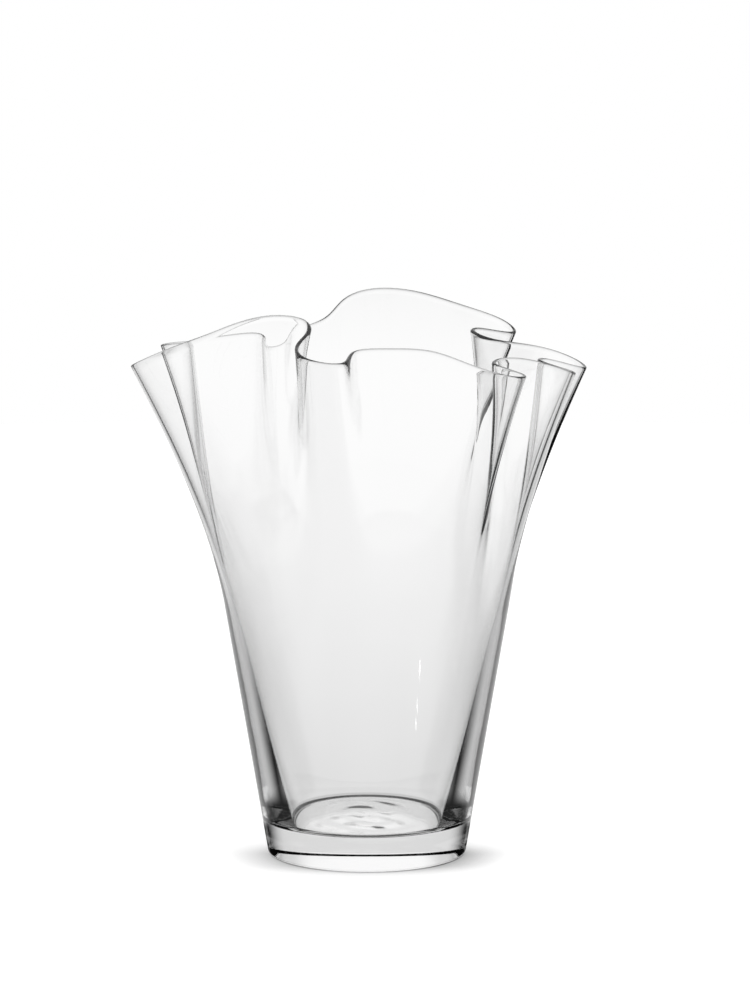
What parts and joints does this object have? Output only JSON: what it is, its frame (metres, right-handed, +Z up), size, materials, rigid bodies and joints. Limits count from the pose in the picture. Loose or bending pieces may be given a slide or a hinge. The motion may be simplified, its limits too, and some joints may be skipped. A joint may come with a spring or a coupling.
{
  "type": "flower vase",
  "caption": "Clear blown-glass flower vase: a round body on a thick solid base, flaring into a mouth folded in uneven ruffles.",
  "frame": {"origin": "middle of the flat foot, on the table, on the axis of the round body", "axes": "+Z up along the axis of the round body; -Y towards the viewer of the picture; +X to that viewer's right"},
  "size_m": [0.2164, 0.1757, 0.266],
  "materials": {
    "clear_glass": "polished"
  },
  "bodies": {
    "root": {"glass_vase": "clear_glass"}
  },
  "joints": []
}
